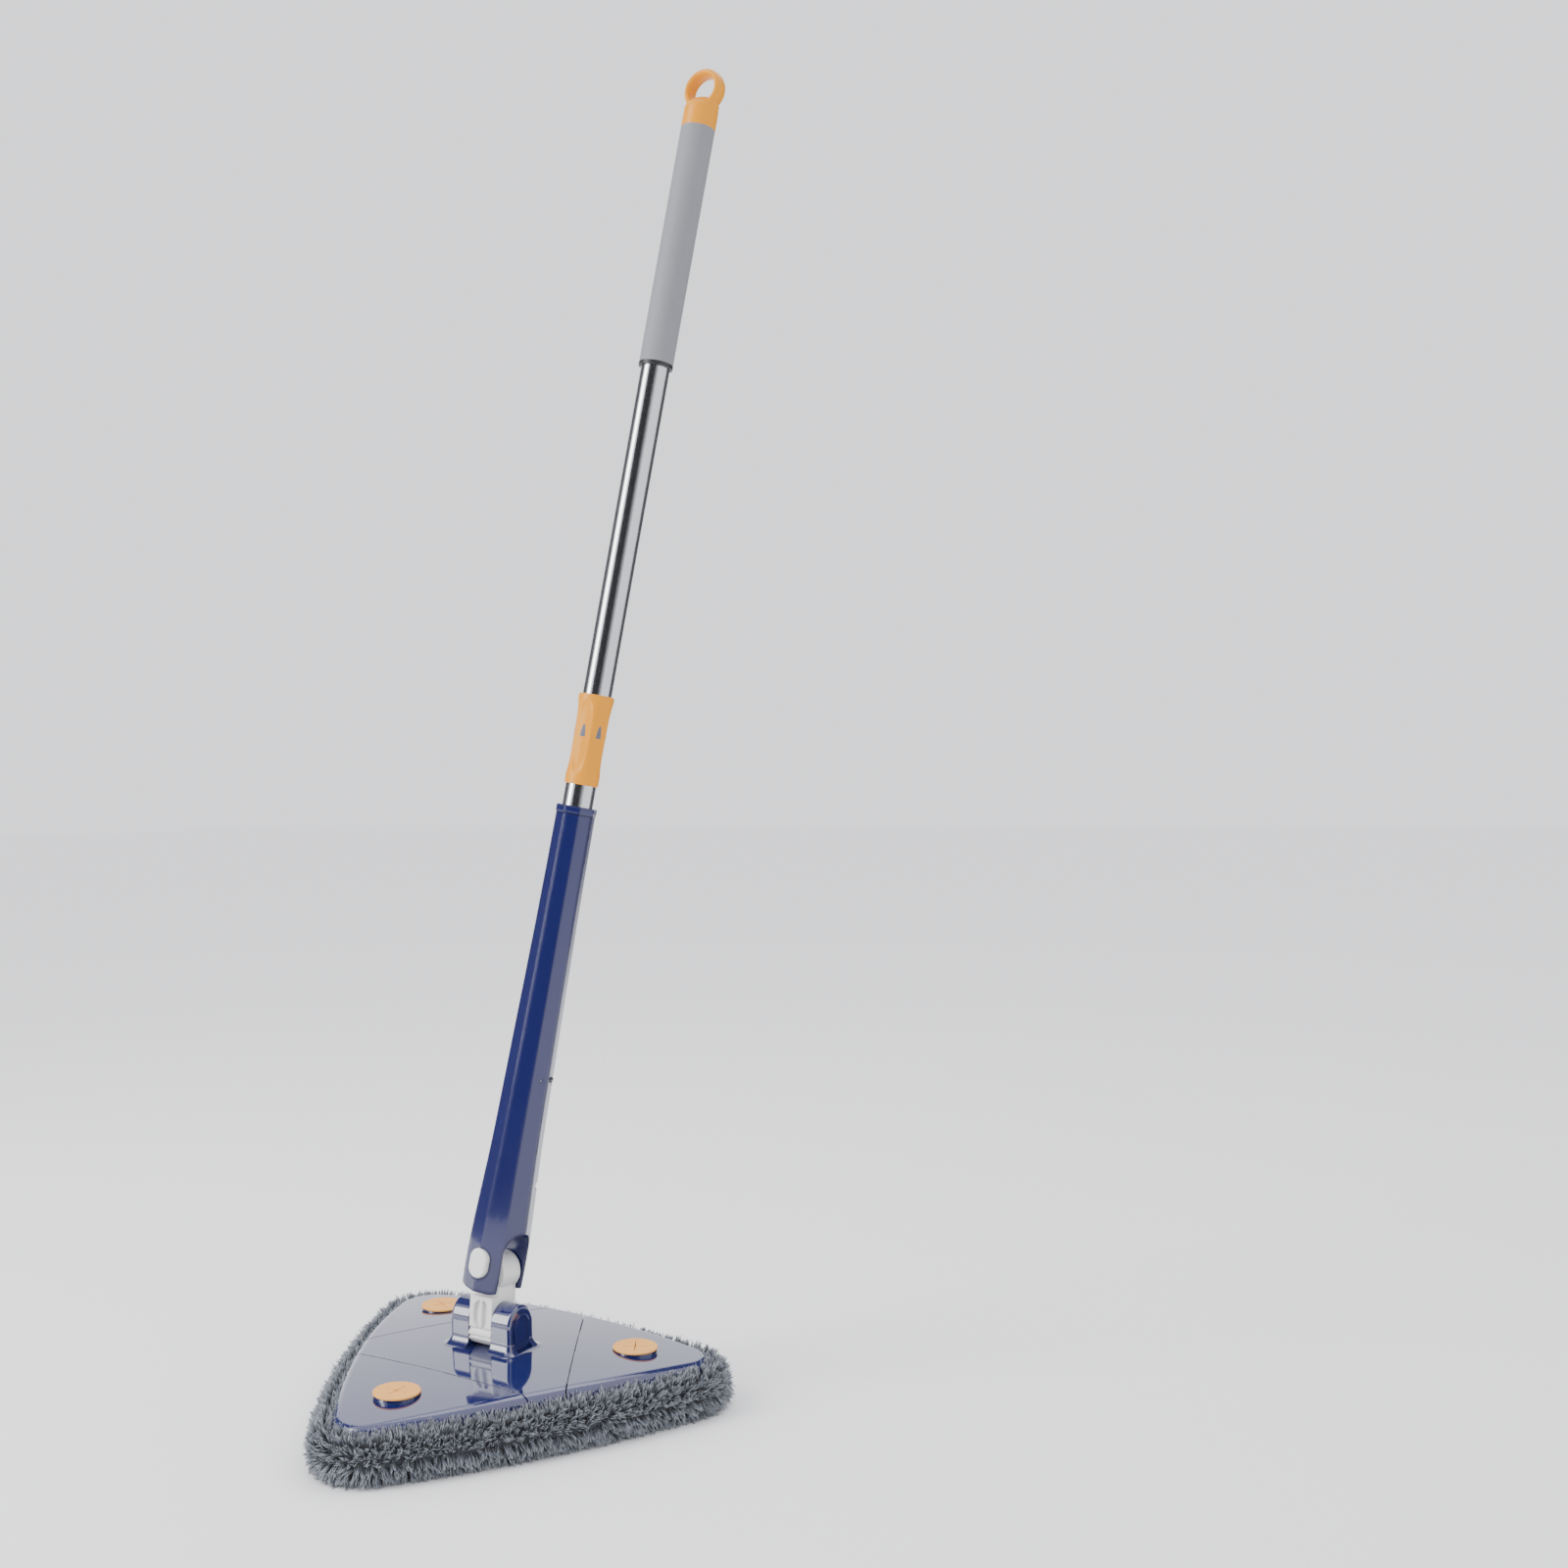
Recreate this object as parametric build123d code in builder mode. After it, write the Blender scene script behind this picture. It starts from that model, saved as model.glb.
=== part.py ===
from build123d import *
import os
from math import atan2, cos, degrees, radians, sin, sqrt

# A triangular floor mop with a telescopic pole.
# The origin is on the floor under the middle of the head, +Z is up, and -Y points to the front corner.
# The ear pin runs along X. The pole leans as it was put down: the link tips about the ear pin, and the
# housing tips about the link's own pin. Lengths are in millimetres and angles in degrees.

# The head's outline is a triangle with bowed sides and round corners.
SIDE_REACH = 110.4      # from the middle of the head to the middle of a side
SIDE_RADIUS = 935.0
CORNER_RADIUS = 27.3
PAD_MARGIN = 20.0       # how far the pad reaches past the plates
CORNERS = {"front": -90, "right": 30, "left": 150}

# Heights of the head's layers
PAD_TOP = 28.2
PAD_SHOULDER = 9.0
PAD_HEEL = 4.0
PLATE_FLOOR = 30.0      # lower edge of the plates
UNDERPLATE = 2.5
DOME_TOP = 46.5
DOME_RADIUS = 1700.0
RIM_RADIUS = 7.0
WALL = 2.5

# Seams and flap hinges: each seam is square to its corner's direction.
SEAM = 68.5             # from the middle of the head to a seam
SEAM_GAP = 1.0
HINGE_HEIGHT = 33.5
HINGE_PIN = 1.6
KNUCKLE = 3.4
KNUCKLE_SPACE = 0.4
RELIEF = 0.43           # slope of the relief below a hinge, for a fold of 40 degrees
CENTRE_KNUCKLES = ((-50, 20), (0, 20), (50, 20))    # place along the seam, and length
FLAP_KNUCKLES = ((-25, 29.2), (25, 29.2))

HINGE_LENGTH = 120.0
SCREW = 1.5
SCREW_HEAD = 3.2
SCREW_TIP = 39.0
SCREW_TAPER = 34.0
SCREW_BOSS = 3.6
SCREW_REACH = 60.0      # from the middle of the head to a centre screw
FLAP_SCREWS = ((90, 38), (90, -38))
CENTRE_PLATE_INSET = 3.9    # from a seam to the closing plates on its two sides
FLAP_PLATE_INSET = 4.1
CENTRE_HOOKS_INSET = 14.0   # the same for the hook strips, which stay this far inside the edge too
FLAP_HOOKS_INSET = 9.0
FLAP_HOOKS_MARGIN = 11.0

# Cloth clips
CLIP_REACH = 116.6
CLIP_RADIUS = 18.2
CLIP_HOLE = 13.0
RETAINER_RADIUS = 16.5
RETAINER_DEPTH = 1.6
CLIP_DISC = 1.4         # thickness of the disc
CLIP_WALL = 1.8
CLIP_LIP = 1.3
CLIP_SLIT = (20.0, 0.6)
BOSS_TOP = 44.2
CLIP_FLANGE = 40.4      # underside of the flap round the clip's hole

# Ears and link
PIN_HEIGHT = 66.5
PIN = 4.0
RUNNING = 0.06          # radial clearance of everything that turns or slides on a shaft
EAR_INNER = 11.5
EAR_OUTER = 30.0
EAR_RADIUS = 16.0
LINK_HALF = 11.2
LINK_DEPTH = 15.3
LINK_FOOT = 20.3
LINK_SHOULDER = 20.0    # top of the block below the tongue
UPPER_PIN = 38.0        # from the ear pin to the upper pin
TONGUE_FRONT = -8.0
TONGUE_BACK = 15.0
BRACKET_SWING = 17.8
TONGUE_RADIUS = 15.5
OVAL = (22.0, 14.5)      # the link's sunk ovals, with a rib down their middle
OVAL_HEIGHT = 6.0
OVAL_DEPTH = 3.0
OVAL_RIB = 2.6
PITCH = 6.3             # lean about the ear pin, to the back
ROLL = 9.0              # lean about the upper pin, to the right

EAR_CAVITY = (EAR_INNER + EAR_OUTER) / 2
EAR_FLARE = 9.0
EAR_EDGE = 2.5
EAR_WALL = 2.5
EAR_START = 40.0        # height inside the dome at which the ears begin
CAP_HALF = 9.5
CAP_DEPTH = 1.6
CAP_RIM = 2.2           # width of the raised border round a cap's middle
CAP_PROUD = 0.8

# Housing: heights along the pole are measured from the ear pin's level.
HOUSING_RADII = ((25, 24.3), (68, 24.5), (132, 21.5), (195, 19.9), (314, 17.4), (417, 16.3))
HOUSING_WALL = 2.06
FORK_HALF = 16.5        # half the width of the slot in the fork
FORK_TOP = 75.0
FORK_END = 25.0
FORK_CORNER = 14.0      # rounding of the fork's lower corners, from the front
SLEEVE_LENGTH = 410.0
HOLLOW_FLOOR = 84.0
CAP_TOP = 423.0
RIB_HEIGHTS = (112, 200)
RIB_INNER = 13.1
BUTTON_HEIGHT = 48.0
STEM_HEIGHT = 53.0
BUTTON_LENGTH = 24.0
BUTTON_WIDTH = 17.0
FLANGE_FACE = 19.0
SCREW_SEAT = 7.5
BUTTON_FACE = 25.7
BUTTON_PLAY = 0.6        # clearance in length and width
BUTTON_EDGE = 2.0
FLANGE_LENGTH = 3.0      # how much longer and wider the flange is than the button
FLANGE_WIDTH = 2.0
FLANGE = 1.5             # its thickness
STEM_RADIUS = 2.4
STEM_LENGTH = 5.5
WELL_RADIUS = 4.2
WELL_DEPTH = 7.3
POCKET_DEPTH = 1.9
SPRING_WIRE = 0.3
SPRING_LENGTH = 7.4
SPRING_RADIUS = 3.3
SPRING_PITCH = 1.9
BRACKET_DEPTH = 8.2
BRACKET_FOOT = 26.0
BRACKET_HALF = 12.5
PIN_FRONT = 12.6
PIN_SEAT = 20.0
CAP_RADIUS = 16.9
BEARING = (142, 152)
BEARING_RADIUS = 17.4
RIB_SCREWS = ((15.7, 112), (-15.7, 112), (15.7, 200), (-15.7, 200))

# Pole
LOWER_RADIUS = 12.75
LOWER_BORE = 12.16
UPPER_RADIUS = 12.1
UPPER_BORE = 11.5
LOWER_TUBE = (86, 480)
UPPER_TUBE = (335, 986)
COLLAR = (441, 515)
COLLAR_RADII = (14.0, 14.75)
COLLAR_BORE = 13.5       # over the clamp
COLLAR_LIP = 6.0
COLLET_RADIUS = 13.2
GRIP = (790, 986)
GRIP_RADIUS = 14.05
GRIP_BORDER = 3.0        # height of the dark ring below the grip
BUSH_BORE = 8.0
CAP_SPIGOT = 25.0        # how far the hanging cap reaches into the tube
RING_HEIGHT = 1017.0
RING_OUTER = 17.25
RING_HOLE = 11.75
RING_HALF = 5.5
CAP_SHOULDER = 1002.0

# Worked out from the dimensions above
BOW_CENTRE = SIDE_RADIUS - SIDE_REACH
CORNER_REACH = sqrt((SIDE_RADIUS - CORNER_RADIUS) ** 2 - 0.75 * BOW_CENTRE**2) - BOW_CENTRE / 2
SIDE_TURN = degrees(atan2(CORNER_REACH * sin(radians(60)), BOW_CENTRE + CORNER_REACH / 2))
FAR = 300.0             # longer than any part of the head
flange_pocket = (BUTTON_LENGTH + FLANGE_LENGTH + BUTTON_PLAY, BUTTON_WIDTH + FLANGE_WIDTH + BUTTON_PLAY)

# The link's planes: its own base, its front view (x, height) and its side view (depth, height)
link_up = Vector(0, sin(radians(PITCH)), cos(radians(PITCH)))
link = Plane(origin=(0, 0, PIN_HEIGHT), x_dir=(1, 0, 0), z_dir=link_up)
link_front = Plane(origin=link.origin, x_dir=link.x_dir, z_dir=-link.y_dir)
link_side = Plane(origin=link.origin, x_dir=link.y_dir, z_dir=link.x_dir)

# The pole's planes, in the same way: its height 0 is UPPER_PIN below the upper pin
pole_up = link.z_dir * cos(radians(ROLL)) + link.x_dir * sin(radians(ROLL))
pole_right = link.x_dir * cos(radians(ROLL)) - link.z_dir * sin(radians(ROLL))
pole = Plane(origin=link.origin + (link.z_dir - pole_up) * UPPER_PIN, x_dir=pole_right, z_dir=pole_up)
pole_front = Plane(origin=pole.origin, x_dir=pole.x_dir, z_dir=-pole.y_dir)
pole_side = Plane(origin=pole.origin, x_dir=pole.y_dir, z_dir=pole.x_dir)
pole_axis = Axis(pole.origin, pole.z_dir)


def polar(radius, angle):
    """The point at this radius and angle, in a flat plane."""
    return Vector(radius * cos(radians(angle)), radius * sin(radians(angle)))


def corner_plane(angle):
    """A level plane whose x runs from the middle of the head to a corner."""
    return Plane(origin=(0, 0, 0), x_dir=(cos(radians(angle)), sin(radians(angle)), 0), z_dir=(0, 0, 1))


def corner_section(angle):
    """The upright plane through a corner: x runs outwards and y is the height."""
    outwards = (cos(radians(angle)), sin(radians(angle)), 0)
    return Plane(origin=(0, 0, 0), x_dir=outwards, z_dir=(sin(radians(angle)), -cos(radians(angle)), 0))


def head_outline(inset):
    """Fill the plates' outline, drawn this far inside their edge."""
    corner_radius = CORNER_RADIUS - inset
    with BuildLine() as outline:
        for corner in CORNERS.values():
            side = corner + 60
            here = polar(CORNER_REACH, corner)
            there = polar(CORNER_REACH, corner + 120)
            start = here + polar(corner_radius, side - SIDE_TURN)
            end = there + polar(corner_radius, side + SIDE_TURN)
            next_start = there + polar(corner_radius, side + 120 - SIDE_TURN)
            ThreePointArc(start, polar(SIDE_REACH - inset, side), end)
            ThreePointArc(end, there + polar(corner_radius, corner + 120), next_start)
    make_face(outline.edges())


def beyond(seam, low=-1.0, high=100.0):
    """Fill the section of everything past a seam, with a level lower side."""
    with Locations((seam + FAR / 2, (low + high) / 2)):
        Rectangle(FAR, high - low)


def beyond_relieved(seam, slope):
    """Fill the section past a seam that leans by this slope below the hinge."""
    foot = seam + slope * (HINGE_HEIGHT + 1)
    with BuildLine() as outline:
        Polyline((seam, 100), (seam, HINGE_HEIGHT), (foot, -1), (FAR, -1), (FAR, 100), close=True)
    make_face(outline.edges())


def band(inner, outer, low, high):
    """Fill the section of a ring, from one radius to another and from one height to another."""
    with Locations(((inner + outer) / 2, (low + high) / 2)):
        Rectangle(outer - inner, high - low)


def hinge_circle(radius):
    """Fill a circle about the hinge line, in a corner's section."""
    with Locations((SEAM, HINGE_HEIGHT)):
        Circle(radius)


def ear_arch(half):
    """Fill the arched outline on an ear's outer face, this far each side of the pin."""
    with Locations((0, PIN_HEIGHT)):
        Circle(half)
    with Locations((0, PIN_HEIGHT - half)):
        Rectangle(2 * half, 2 * half)


def on_ear_foot(edge):
    """True for an edge where the front, back or outer face of an ear meets the dome."""
    middle = edge.center()
    at_foot = DOME_TOP - 2 < middle.Z < DOME_TOP + 0.5
    return at_foot and EAR_INNER + 1 < abs(middle.X) < EAR_OUTER + 1 and abs(middle.Y) < EAR_RADIUS + 1


def on_ear_outline(edge):
    """True for the edges round an ear's outer face, apart from its foot."""
    return edge.center().Z > DOME_TOP + 1 and abs(edge.center().X) > EAR_OUTER - 0.1


def sleeve_side(turn, trim):
    """The housing's outline seen square to two opposite sides, made smaller by this much."""
    across = pole.x_dir * cos(radians(turn)) + pole.y_dir * sin(radians(turn))
    along = pole.y_dir * cos(radians(turn)) - pole.x_dir * sin(radians(turn))
    foot, top = HOUSING_RADII[0][0], HOUSING_RADII[-1][0]
    with BuildSketch(Plane(origin=pole.origin, x_dir=across, z_dir=-along)) as view:
        with BuildLine() as outline:
            flank = Spline(*[((radius - trim) * cos(radians(22.5)), height) for height, radius in HOUSING_RADII])
            Polyline(flank @ 1, (0, top), (0, foot), flank @ 0)
        make_face(outline.edges())
        mirror(about=Plane.YZ)
    return view.sketch


os.makedirs("parts", exist_ok=True)


def save(piece, name):
    """Label a finished piece and write it."""
    piece.part.label = name
    export_step(piece.part, f"parts/{name}.step")


# ---- The head's dome and its hollow, which the four plates are cut from ----
with BuildPart() as dome:
    with BuildSketch(Plane.XY.offset(PLATE_FLOOR)):
        head_outline(0)
    extrude(amount=30)
    with Locations((0, 0, DOME_TOP - DOME_RADIUS)):
        Sphere(DOME_RADIUS, rotation=(90, 0, 0), mode=Mode.INTERSECT)
    fillet(dome.faces().sort_by(Axis.Z)[-1].edges(), RIM_RADIUS)

with BuildPart() as hollow:
    with BuildSketch(Plane.XY.offset(PLATE_FLOOR - 1)):
        head_outline(WALL)
    extrude(amount=30)
    with Locations((0, 0, DOME_TOP - DOME_RADIUS)):
        Sphere(DOME_RADIUS - WALL, rotation=(90, 0, 0), mode=Mode.INTERSECT)
    fillet(hollow.faces().sort_by(Axis.Z)[-1].edges(), RIM_RADIUS - WALL)

with BuildPart() as centre_hollow:
    add(hollow.part)
    for corner in CORNERS.values():
        with BuildSketch(corner_section(corner)):
            beyond(SEAM - SEAM_GAP / 2 - WALL)
        extrude(amount=FAR, both=True, mode=Mode.SUBTRACT)
    with BuildSketch(Plane.XY.offset(PLATE_FLOOR + UNDERPLATE)):
        with Locations(*[polar(SCREW_REACH, corner + 180) for corner in CORNERS.values()]):
            Circle(SCREW_BOSS)
    extrude(amount=30, mode=Mode.SUBTRACT)

# ---- Centre plate, with the two ears that carry the link ----
with BuildPart() as centre_plate:
    add(dome.part)
    for side in (1, -1):
        with BuildSketch(Plane.YZ.offset(side * EAR_INNER)):
            with Locations((0, PIN_HEIGHT)):
                Circle(EAR_RADIUS)
            with Locations((0, (PIN_HEIGHT + EAR_START) / 2)):
                Rectangle(2 * EAR_RADIUS, PIN_HEIGHT - EAR_START)
        extrude(amount=side * (EAR_OUTER - EAR_INNER))
    fillet(centre_plate.edges().filter_by(on_ear_outline), EAR_EDGE)
    fillet(centre_plate.edges().filter_by(on_ear_foot), EAR_FLARE)
    add(centre_hollow.part, mode=Mode.SUBTRACT)
    for corner in CORNERS.values():
        with BuildSketch(corner_section(corner)):
            beyond_relieved(SEAM - SEAM_GAP / 2, -RELIEF)
        extrude(amount=FAR, both=True, mode=Mode.SUBTRACT)

    # The shallow recess that the link's foot swings in
    with BuildSketch(Plane.YZ):
        with Locations((0, PIN_HEIGHT)):
            Circle(LINK_FOOT + 0.6)
    extrude(amount=EAR_INNER, both=True, mode=Mode.SUBTRACT)
    # Hollows inside the ears, open below
    with BuildSketch(Plane.XY):
        with Locations((EAR_CAVITY, 0), (-EAR_CAVITY, 0)):
            Rectangle(EAR_OUTER - EAR_INNER - 2 * EAR_WALL, 2 * (EAR_RADIUS - EAR_WALL) - 1)
    extrude(amount=PIN_HEIGHT - PIN - 3, mode=Mode.SUBTRACT)
    # Arched recesses for the caps, and the bore for the pin
    with BuildSketch(Plane.YZ.offset(EAR_OUTER - CAP_DEPTH)):
        ear_arch(CAP_HALF + 0.2)
    extrude(amount=10, mode=Mode.SUBTRACT)
    with BuildSketch(Plane.YZ.offset(CAP_DEPTH - EAR_OUTER)):
        ear_arch(CAP_HALF + 0.2)
    extrude(amount=-10, mode=Mode.SUBTRACT)
    with BuildSketch(Plane.YZ):
        with Locations((0, PIN_HEIGHT)):
            Circle(PIN)
    extrude(amount=EAR_OUTER, both=True, mode=Mode.SUBTRACT)
    # Screw holes in the three bosses
    with Locations(*[polar(SCREW_REACH, corner + 180) for corner in CORNERS.values()]):
        Cylinder(SCREW, 2 * SCREW_TIP, mode=Mode.SUBTRACT)
    for corner in CORNERS.values():
        with BuildSketch(corner_section(corner)):
            beyond_relieved(SEAM - SEAM_GAP / 2, -RELIEF)
        extrude(amount=FAR, both=True, mode=Mode.SUBTRACT)
        for place, length in FLAP_KNUCKLES:
            with BuildSketch(corner_section(corner).offset(place)):
                hinge_circle(KNUCKLE + KNUCKLE_SPACE)
            extrude(amount=length / 2 + KNUCKLE_SPACE, both=True, mode=Mode.SUBTRACT)
        for place, length in CENTRE_KNUCKLES:
            with BuildSketch(corner_section(corner).offset(place)):
                hinge_circle(KNUCKLE)
            extrude(amount=length / 2, both=True)
        with BuildSketch(corner_section(corner)):
            hinge_circle(HINGE_PIN)
        extrude(amount=HINGE_LENGTH / 2, both=True, mode=Mode.SUBTRACT)

save(centre_plate, "centre_plate")

# ---- Ear pin and its two arched covers ----
with BuildPart() as ear_pin:
    with BuildSketch(Plane.YZ):
        with Locations((0, PIN_HEIGHT)):
            Circle(PIN)
    extrude(amount=EAR_OUTER - CAP_DEPTH, both=True)

with BuildPart() as ear_caps:
    with BuildSketch(Plane.YZ.offset(EAR_OUTER - CAP_DEPTH)):
        ear_arch(CAP_HALF)
    extrude(amount=CAP_DEPTH + CAP_PROUD)
    with BuildSketch(Plane.YZ.offset(EAR_OUTER)):
        ear_arch(CAP_HALF - CAP_RIM)
    extrude(amount=2, mode=Mode.SUBTRACT)
    mirror(about=Plane.YZ)

save(ear_pin, "ear_pin")
save(ear_caps, "ear_caps")

# ---- Below the centre plate: the closing plate, its screws, the hook strip and the pad ----
with BuildPart() as centre_underplate:
    with BuildSketch(Plane.XY.offset(PLATE_FLOOR)):
        head_outline(WALL + 0.3)
    extrude(amount=UNDERPLATE)
    for corner in CORNERS.values():
        with BuildSketch(corner_section(corner)):
            beyond(SEAM - CENTRE_PLATE_INSET)
        extrude(amount=FAR, both=True, mode=Mode.SUBTRACT)
    for corner in CORNERS.values():
        with BuildSketch(Plane.XY.offset(PLATE_FLOOR)):
            with Locations(polar(SCREW_REACH, corner + 180)):
                Circle(SCREW_HEAD)
        extrude(amount=UNDERPLATE, mode=Mode.SUBTRACT, taper=SCREW_TAPER)

with BuildPart() as centre_screws:
    for corner in CORNERS.values():
        with BuildSketch(Plane.XY.offset(PLATE_FLOOR)):
            with Locations(polar(SCREW_REACH, corner + 180)):
                Circle(SCREW_HEAD)
        extrude(amount=UNDERPLATE, taper=SCREW_TAPER)
        with BuildSketch(Plane.XY.offset(PLATE_FLOOR)):
            with Locations(polar(SCREW_REACH, corner + 180)):
                Circle(SCREW)
        extrude(amount=SCREW_TIP - PLATE_FLOOR)

with BuildPart() as centre_hooks:
    with BuildSketch(Plane.XY.offset(PAD_TOP)):
        head_outline(CENTRE_HOOKS_INSET)
    extrude(amount=PLATE_FLOOR - PAD_TOP)
    for corner in CORNERS.values():
        with BuildSketch(corner_section(corner)):
            beyond(SEAM - CENTRE_HOOKS_INSET)
        extrude(amount=FAR, both=True, mode=Mode.SUBTRACT)
    with Locations(*[polar(SCREW_REACH, corner + 180) for corner in CORNERS.values()]):
        Cylinder(SCREW_HEAD + 1, 200, mode=Mode.SUBTRACT)

with BuildPart() as pad:
    with BuildSketch():
        head_outline(-PAD_MARGIN)
    extrude(amount=PAD_TOP)
    fillet(pad.faces().sort_by(Axis.Z)[-1].edges(), PAD_SHOULDER)
    fillet(pad.faces().sort_by(Axis.Z)[0].edges(), PAD_HEEL)

with BuildPart() as pad_centre:
    add(pad.part)
    for corner in CORNERS.values():
        with BuildSketch(corner_section(corner)):
            beyond_relieved(SEAM - SEAM_GAP / 2, -RELIEF)
        extrude(amount=FAR, both=True, mode=Mode.SUBTRACT)

save(centre_underplate, "centre_underplate")
save(centre_screws, "centre_screws")
save(centre_hooks, "centre_hooks")
save(pad_centre, "pad_centre")

# ---- The three folding corners, alike: each is a plate on a hinge pin with everything it carries ----
for name, corner in CORNERS.items():
    section = corner_section(corner)
    level = corner_plane(corner)
    clip_spot = polar(CLIP_REACH, corner)
    clip_axis = Axis((clip_spot.X, clip_spot.Y, 0), (0, 0, 1))
    clip_section = Plane(origin=(clip_spot.X, clip_spot.Y, 0), x_dir=section.x_dir, z_dir=section.z_dir)

    with BuildPart() as flap_hollow:
        add(hollow.part)
        with BuildSketch(section):
            beyond(SEAM + SEAM_GAP / 2 + WALL)
        extrude(amount=FAR, both=True, mode=Mode.INTERSECT)
        with BuildSketch(level.offset(PLATE_FLOOR + UNDERPLATE)):
            with Locations(*FLAP_SCREWS):
                Circle(SCREW_BOSS)
        extrude(amount=30, mode=Mode.SUBTRACT)

    with BuildPart() as flap:
        add(dome.part)
        with BuildSketch(level.offset(PLATE_FLOOR)):
            with Locations((CLIP_REACH, 0)):
                Circle(CLIP_RADIUS - 0.8)
        extrude(amount=BOSS_TOP - PLATE_FLOOR)
        add(flap_hollow.part, mode=Mode.SUBTRACT)
        with BuildSketch(level):
            with Locations((CLIP_REACH, 0)):
                Circle(RETAINER_RADIUS + 0.2)
        extrude(amount=CLIP_FLANGE, mode=Mode.SUBTRACT)
        with BuildSketch(section):
            beyond_relieved(SEAM + SEAM_GAP / 2, RELIEF)
        extrude(amount=FAR, both=True, mode=Mode.INTERSECT)
        for place, length in CENTRE_KNUCKLES:
            with BuildSketch(section.offset(place)):
                hinge_circle(KNUCKLE + KNUCKLE_SPACE)
            extrude(amount=length / 2 + KNUCKLE_SPACE, both=True, mode=Mode.SUBTRACT)
        for place, length in FLAP_KNUCKLES:
            with BuildSketch(section.offset(place)):
                hinge_circle(KNUCKLE)
            extrude(amount=length / 2, both=True)
        with BuildSketch(section):
            hinge_circle(HINGE_PIN + RUNNING)
        extrude(amount=HINGE_LENGTH / 2 + 1, both=True, mode=Mode.SUBTRACT)
        with BuildSketch(level):
            with Locations((CLIP_REACH, 0)):
                Circle(CLIP_HOLE)
        extrude(amount=100, mode=Mode.SUBTRACT)
        with BuildSketch(level):
            with Locations(*FLAP_SCREWS):
                Circle(SCREW)
        extrude(amount=SCREW_TIP, mode=Mode.SUBTRACT)

    with BuildPart() as hinge_pin:
        with BuildSketch(section):
            hinge_circle(HINGE_PIN)
        extrude(amount=HINGE_LENGTH / 2, both=True)

    with BuildPart() as underplate:
        with BuildSketch(Plane.XY.offset(PLATE_FLOOR)):
            head_outline(WALL + 0.3)
        extrude(amount=UNDERPLATE)
        with BuildSketch(section):
            beyond(SEAM + FLAP_PLATE_INSET)
        extrude(amount=FAR, both=True, mode=Mode.INTERSECT)
        with BuildSketch(level.offset(PLATE_FLOOR)):
            with Locations(*FLAP_SCREWS):
                Circle(SCREW_HEAD)
        extrude(amount=UNDERPLATE, mode=Mode.SUBTRACT, taper=SCREW_TAPER)

    with BuildPart() as screws:
        with BuildSketch(level.offset(PLATE_FLOOR)):
            with Locations(*FLAP_SCREWS):
                Circle(SCREW_HEAD)
        extrude(amount=UNDERPLATE, taper=SCREW_TAPER)
        with BuildSketch(level.offset(PLATE_FLOOR)):
            with Locations(*FLAP_SCREWS):
                Circle(SCREW)
        extrude(amount=SCREW_TIP - PLATE_FLOOR)

    with BuildPart() as hooks:
        with BuildSketch(Plane.XY.offset(PAD_TOP)):
            head_outline(FLAP_HOOKS_MARGIN)
        extrude(amount=PLATE_FLOOR - PAD_TOP)
        with BuildSketch(section):
            beyond(SEAM + FLAP_HOOKS_INSET)
        extrude(amount=FAR, both=True, mode=Mode.INTERSECT)
        with BuildSketch(level):
            with Locations(*FLAP_SCREWS):
                Circle(SCREW_HEAD + 1)
        extrude(amount=100, mode=Mode.SUBTRACT)

    with BuildPart() as clip:
        with BuildSketch(clip_section):
            band(0, CLIP_RADIUS, BOSS_TOP, BOSS_TOP + CLIP_DISC)
            band(CLIP_HOLE - CLIP_WALL, CLIP_HOLE, CLIP_FLANGE, BOSS_TOP)
            band(CLIP_HOLE - CLIP_WALL, CLIP_HOLE + 2, CLIP_FLANGE - CLIP_LIP, CLIP_FLANGE)
        revolve(axis=clip_axis)
        fillet(clip.faces().filter_by(Axis.Z).sort_by(Axis.Z)[-1].edges(), 0.5)
        with BuildSketch(level.offset(BOSS_TOP)):
            with Locations((CLIP_REACH, 0)):
                Rectangle(*CLIP_SLIT)
                Rectangle(*CLIP_SLIT, rotation=90)
                Circle(1.1)
        extrude(amount=3, mode=Mode.SUBTRACT)

    with BuildPart() as retainer:
        with BuildSketch(clip_section):
            band(CLIP_HOLE - CLIP_WALL, RETAINER_RADIUS, CLIP_FLANGE - CLIP_LIP - RETAINER_DEPTH, CLIP_FLANGE - CLIP_LIP)
        revolve(axis=clip_axis)

    with BuildPart() as pad_corner:
        add(pad.part)
        with BuildSketch(section):
            beyond_relieved(SEAM + SEAM_GAP / 2, RELIEF)
        extrude(amount=FAR, both=True, mode=Mode.INTERSECT)

    save(flap, f"flap_{name}")
    save(hinge_pin, f"hinge_pin_{name}")
    save(underplate, f"underplate_{name}")
    save(screws, f"screws_{name}")
    save(hooks, f"hooks_{name}")
    save(clip, f"clip_{name}")
    save(retainer, f"retainer_{name}")
    save(pad_corner, f"pad_{name}")

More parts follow.
